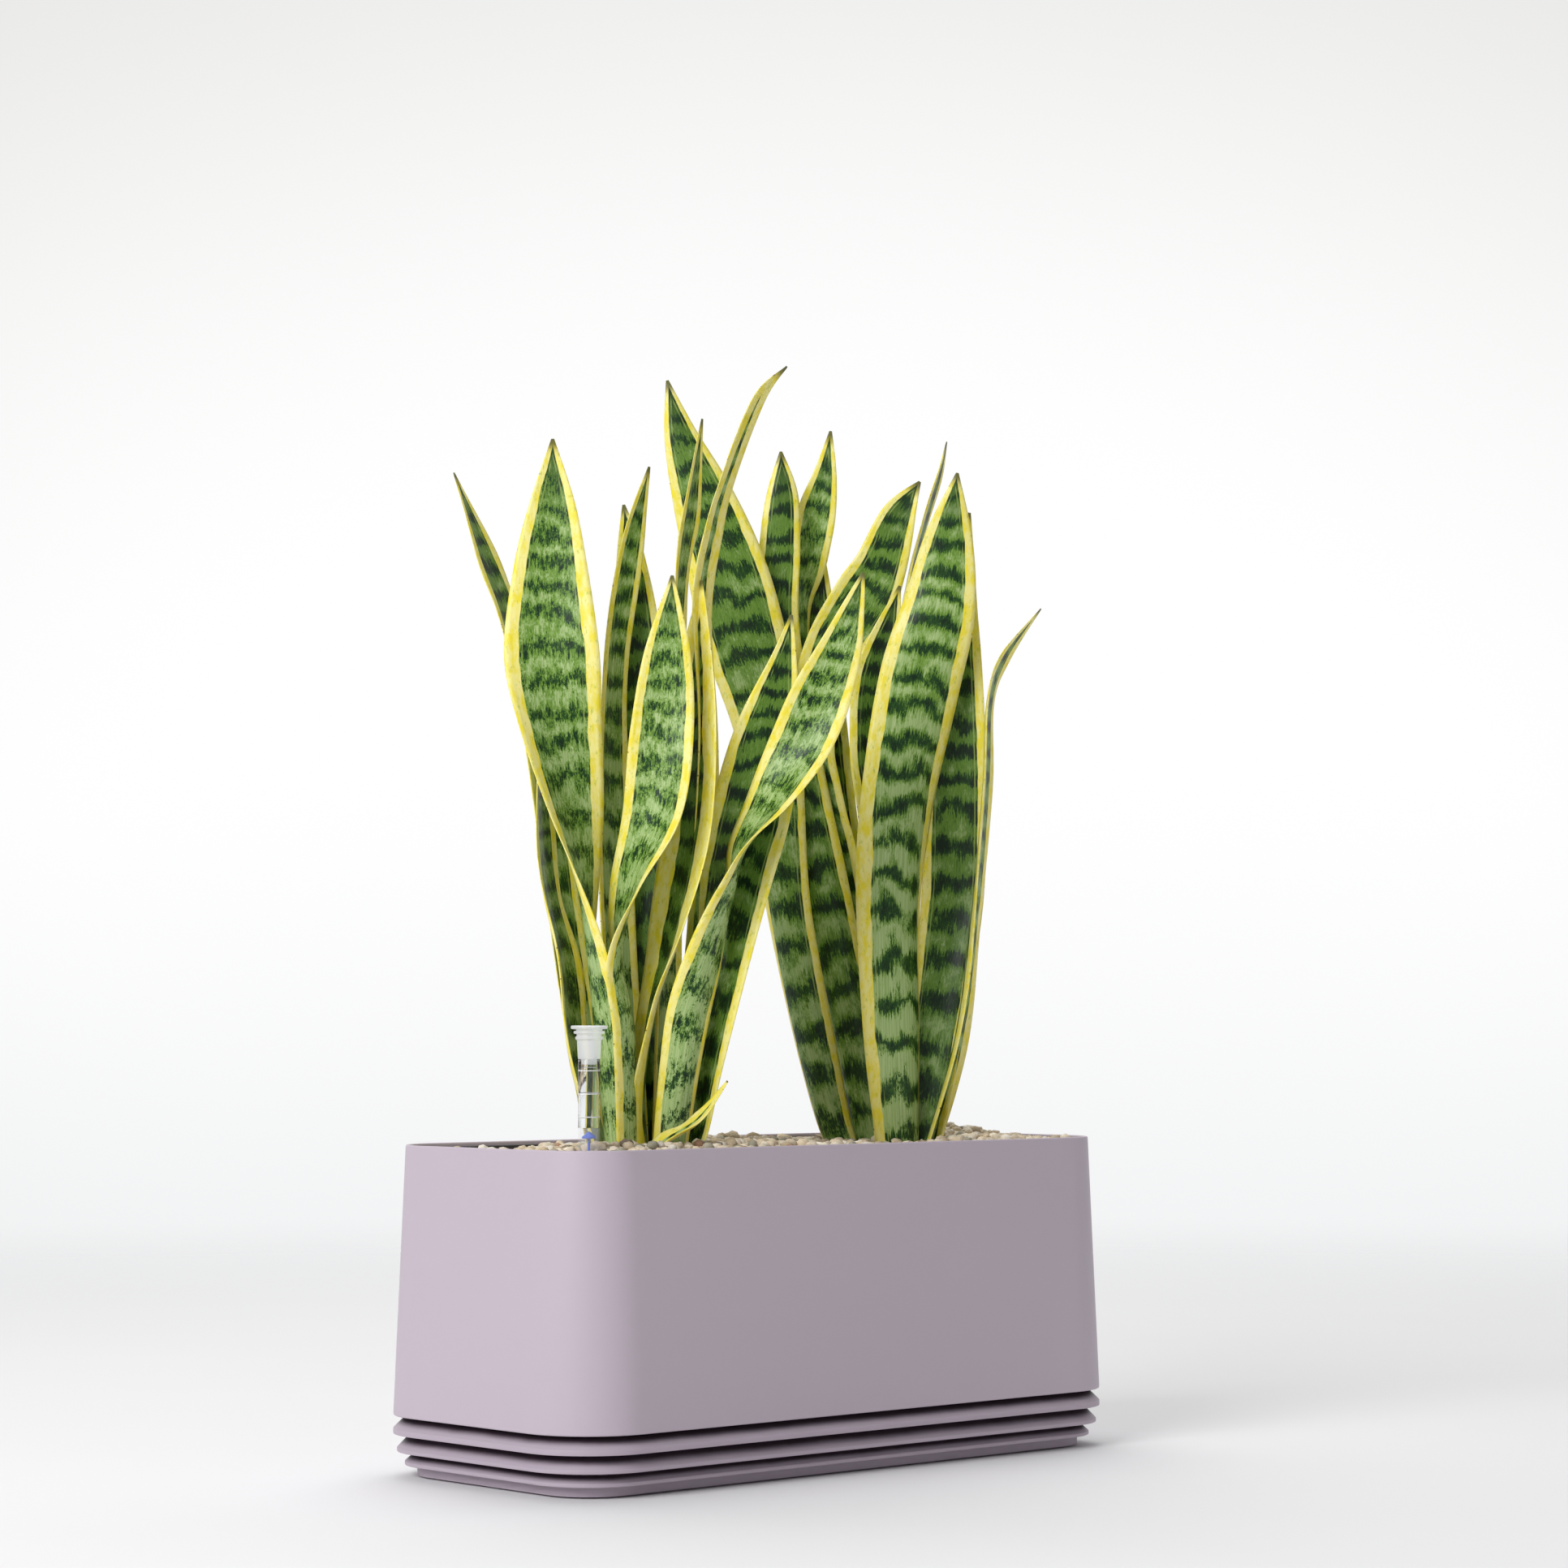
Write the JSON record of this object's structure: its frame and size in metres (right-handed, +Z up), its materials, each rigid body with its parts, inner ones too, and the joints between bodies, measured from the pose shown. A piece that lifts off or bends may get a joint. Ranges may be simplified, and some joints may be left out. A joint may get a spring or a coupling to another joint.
{
  "type": "self watering planter",
  "caption": "Oblong self-watering planter: tapered shell on a louvred base, inner pot with reservoir, float gauge and snake plants.",
  "frame": {"origin": "middle of the footprint, on the floor", "axes": "+Z up, +X along the planter's long side, +Y along its short side"},
  "size_m": [0.5, 0.225, 0.7532],
  "materials": {
    "shell_plastic": "satin pale mauve moulded plastic",
    "louvre_plastic": "satin mauve moulded plastic",
    "base_plastic": "satin mauve moulded plastic",
    "dark_plastic": "dark grey moulded plastic",
    "pad_rubber": "black moulded rubber",
    "felt": "off-white needled felt",
    "growing_medium": "crumbly dark growing medium",
    "pebbles": "washed mixed pebbles",
    "leaf": "waxy green leaf with yellow margins",
    "frosted_plastic": "frosted translucent plastic",
    "clear_plastic": "clear plastic",
    "float_blue": "blue moulded plastic",
    "float_foam": "white foamed plastic"
  },
  "bodies": {
    "base": {"base_frame": "base_plastic", "foot_pad_1": "pad_rubber", "foot_pad_2": "pad_rubber", "foot_pad_3": "pad_rubber", "foot_pad_4": "pad_rubber", "upper_louvre": "louvre_plastic", "middle_louvre": "louvre_plastic", "lower_louvre": "louvre_plastic", "reservoir_tray": "dark_plastic"},
    "shell": {"outer_shell": "shell_plastic"},
    "grow_pot": {"inner_pot": "dark_plastic", "left_wick_cup": "dark_plastic", "right_wick_cup": "dark_plastic", "left_wick": "felt", "right_wick": "felt", "drainage_grid": "dark_plastic", "separating_fleece": "felt", "growing_medium": "growing_medium", "pebble_layer": "pebbles", "left_plant": "leaf", "right_plant": "leaf", "gauge_sleeve": "dark_plastic"},
    "gauge": {"gauge_tube": "frosted_plastic", "gauge_window": "clear_plastic"},
    "gauge_cap": {"gauge_cap": "frosted_plastic"},
    "float": {"float_body": "float_foam", "float_stem": "float_blue", "float_marker": "float_blue"}
  },
  "joints": [
    {"name": "shell_lift", "type": "slide", "parent": "base", "child": "shell", "axis": [0, 0, 1], "range_m": [0, 0.08]},
    {"name": "pot_lift", "type": "slide", "parent": "shell", "child": "grow_pot", "axis": [0, 0, 1], "range_m": [0, 0.21]},
    {"name": "gauge_lift", "type": "slide", "parent": "grow_pot", "child": "gauge", "axis": [0, 0, 1], "range_m": [0, 0.2]},
    {"name": "cap_pull", "type": "slide", "parent": "gauge", "child": "gauge_cap", "axis": [0, 0, 1], "range_m": [0, 0.015]},
    {"name": "float_rise", "type": "slide", "parent": "gauge", "child": "float", "axis": [0, 0, 1], "range_m": [0, 0.04]}
  ]
}
